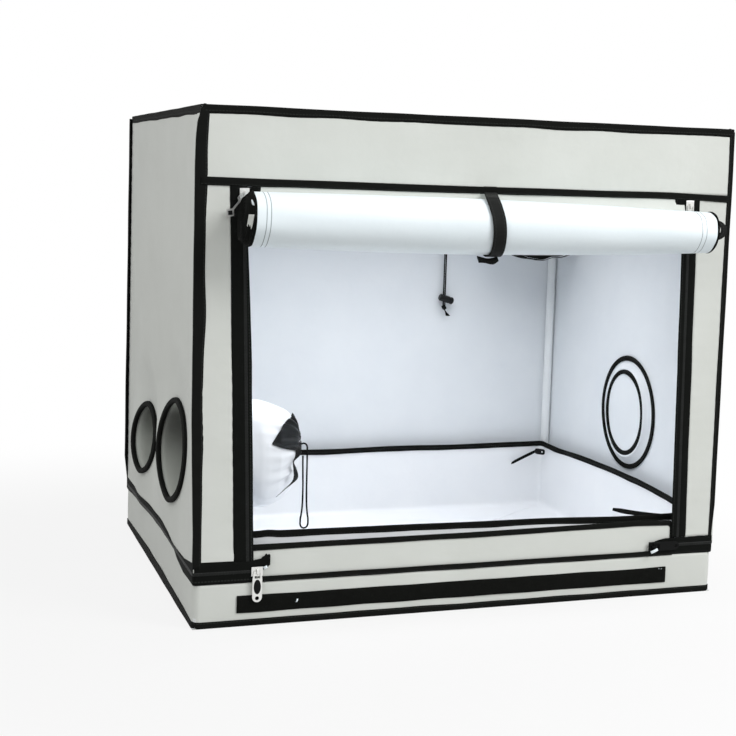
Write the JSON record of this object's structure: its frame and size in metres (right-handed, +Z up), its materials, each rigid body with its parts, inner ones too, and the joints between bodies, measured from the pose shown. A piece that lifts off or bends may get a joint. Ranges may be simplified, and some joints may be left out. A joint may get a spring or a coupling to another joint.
{
  "type": "grow tent",
  "caption": "Small box-shaped grow tent on a tube frame, with a rolled-up door, zips, duct sleeves, a covered port and an inner tray.",
  "frame": {"origin": "middle of the footprint, on the underside of the floor cloth, which stands on the ground", "axes": "+X to the right as seen from the door, +Y from the door to the back wall, +Z up"},
  "size_m": [0.8222, 0.6909, 0.7],
  "materials": {
    "cover_cloth": "light grey woven polyester, coated, matt",
    "lining_cloth": "white reflective lining, satin",
    "binding_tape": "black folded binding tape, matt",
    "webbing": "black webbing, ribbed, matt",
    "zip_tape": "black zip tape with a moulded coil",
    "coated_steel": "white powder-coated steel tube",
    "connector_plastic": "white moulded plastic",
    "plated_zinc": "nickel-plated zinc",
    "drawcord": "black braided drawcord",
    "black_plastic": "black moulded plastic, satin",
    "tray_sheet": "white waterproof sheet, satin"
  },
  "bodies": {
    "tent": {"post_front_left": "coated_steel", "post_front_right": "coated_steel", "post_back_left": "coated_steel", "post_back_right": "coated_steel", "rail_base_front": "coated_steel", "rail_base_back": "coated_steel", "rail_base_left": "coated_steel", "rail_base_right": "coated_steel", "rail_top_front": "coated_steel", "rail_top_back": "coated_steel", "rail_top_left": "coated_steel", "rail_top_right": "coated_steel", "corner_base_front_left": "connector_plastic", "corner_base_front_right": "connector_plastic", "corner_base_back_left": "connector_plastic", "corner_base_back_right": "connector_plastic", "corner_top_front_left": "connector_plastic", "corner_top_front_right": "connector_plastic", "corner_top_back_left": "connector_plastic", "corner_top_back_right": "connector_plastic", "base_tub": "cover_cloth", "sill_flap": "cover_cloth", "cover_roof": "cover_cloth", "cover_back": "cover_cloth", "cover_left": "cover_cloth", "cover_right": "cover_cloth", "front_valance": "cover_cloth", "front_stile_left": "cover_cloth", "front_stile_right": "cover_cloth", "edge_binding": "binding_tape", "valance_seam_tape": "binding_tape", "door_zip_left": "zip_tape", "door_zip_right": "zip_tape", "base_zip_left": "zip_tape", "base_zip_right": "zip_tape", "door_curtain": "cover_cloth", "hook_loop_strip": "webbing", "tray": "tray_sheet", "tray_rim": "binding_tape", "sleeve_left_large": "lining_cloth", "sleeve_left_small": "lining_cloth", "back_sleeve": "lining_cloth", "right_port": "lining_cloth", "drawcord_loop": "drawcord", "drawcord_back": "drawcord", "drawcord_knot": "drawcord"},
    "door_roll": {"door_roll": "lining_cloth", "roll_strap": "webbing"},
    "door_slider_left": {"door_slider_left": "plated_zinc"},
    "door_slider_right": {"door_slider_right": "plated_zinc"},
    "base_slider_left": {"base_slider_left": "plated_zinc"},
    "base_slider_right": {"base_slider_right": "plated_zinc"},
    "door_pull_left": {"door_pull_left": "plated_zinc"},
    "door_pull_right": {"door_pull_right": "plated_zinc"},
    "base_pull_left": {"base_pull_left": "plated_zinc"},
    "base_pull_right": {"base_pull_right": "plated_zinc"},
    "hanging_bar_front": {"hanging_bar_front": "coated_steel"},
    "hanging_bar_back": {"hanging_bar_back": "coated_steel"},
    "cord_lock": {"cord_lock_body": "black_plastic"},
    "cord_lock_button": {"cord_lock_button": "black_plastic"}
  },
  "joints": [
    {"name": "door_unroll", "type": "slide", "parent": "tent", "child": "door_roll", "axis": [0, 0, -1], "range_m": [0, 0.39], "deforming": ["door_curtain"]},
    {"name": "door_zip_left", "type": "slide", "parent": "tent", "child": "door_slider_left", "axis": [0.0308, 0, -0.9995], "range_m": [0, 0.465]},
    {"name": "door_zip_right", "type": "slide", "parent": "tent", "child": "door_slider_right", "axis": [0.0185, 0, -0.9998], "range_m": [0, 0.465]},
    {"name": "base_zip_left", "type": "slide", "parent": "tent", "child": "base_slider_left", "axis": [-1, 0, 0], "range_m": [0, 0.06]},
    {"name": "base_zip_right", "type": "slide", "parent": "tent", "child": "base_slider_right", "axis": [1, 0, 0], "range_m": [0, 0.06]},
    {"name": "door_pull_left_swing", "type": "hinge", "parent": "door_slider_left", "child": "door_pull_left", "pos_m": [-0.3405, -0.30365, 0.5865], "axis": [0, 1, 0], "range_deg": [-33, 7]},
    {"name": "door_pull_right_swing", "type": "hinge", "parent": "door_slider_right", "child": "door_pull_right", "pos_m": [0.3285, -0.30365, 0.5865], "axis": [0, -1, 0], "range_deg": [0, 40]},
    {"name": "base_pull_left_lift", "type": "hinge", "parent": "base_slider_left", "child": "base_pull_left", "pos_m": [-0.312, -0.30365, 0.0763], "axis": [-1, 0, 0], "range_deg": [0, 170]},
    {"name": "base_pull_right_lift", "type": "hinge", "parent": "base_slider_right", "child": "base_pull_right", "pos_m": [0.2965, -0.30365, 0.0763], "axis": [0, 0, -1], "range_deg": [0, 170]},
    {"name": "hanging_bar_front_slide", "type": "slide", "parent": "tent", "child": "hanging_bar_front", "axis": [0, 1, 0], "range_m": [-0.13, 0.08]},
    {"name": "hanging_bar_back_slide", "type": "slide", "parent": "tent", "child": "hanging_bar_back", "axis": [0, 1, 0], "range_m": [-0.08, 0.13]},
    {"name": "cord_lock_slide", "type": "slide", "parent": "tent", "child": "cord_lock", "axis": [0, 0, 1], "range_m": [0, 0.08]},
    {"name": "cord_lock_press", "type": "slide", "parent": "cord_lock", "child": "cord_lock_button", "axis": [-0.9563, 0, 0.2924], "range_m": [0, 0.0025], "stiffness_N_per_m": 200}
  ]
}
